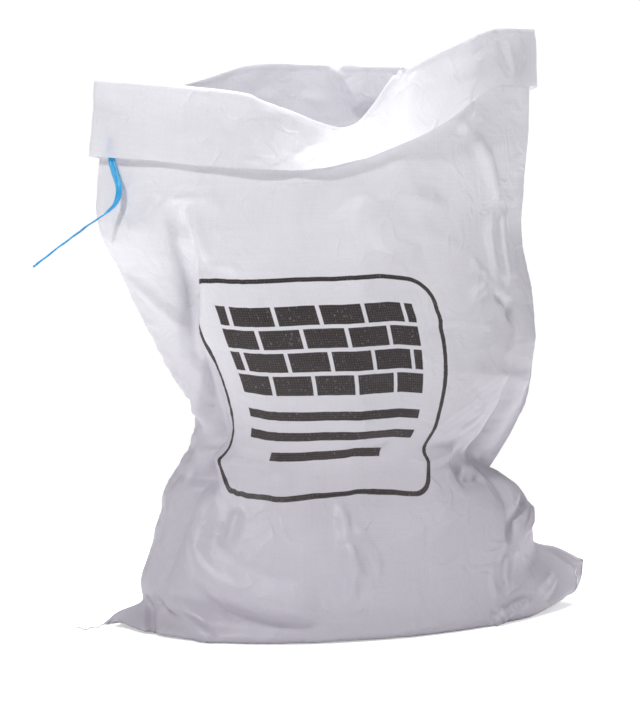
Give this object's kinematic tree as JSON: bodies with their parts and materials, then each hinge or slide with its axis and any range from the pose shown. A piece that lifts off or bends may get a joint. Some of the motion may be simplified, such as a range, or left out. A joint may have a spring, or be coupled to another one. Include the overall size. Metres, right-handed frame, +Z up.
{
  "type": "rubble sack",
  "caption": "Woven plastic rubble sack standing open on its sewn bottom, with a turned down cuff, corner ears and a flat tie hanging from under the cuff.",
  "frame": {"origin": "centre of the footprint's box, on the floor under the sack", "axes": "+Z up towards the open mouth, +X along the hem to the upright ear, -Y towards the front face of the sack"},
  "size_m": [0.6232, 0.2887, 0.6402],
  "materials": {
    "woven_white": "satin woven tape",
    "tie_blue": "satin film",
    "thread_white": "twisted thread"
  },
  "bodies": {
    "root": {"sack": "woven_white", "tie_tape": "tie_blue", "hem_thread": "thread_white"}
  },
  "joints": []
}
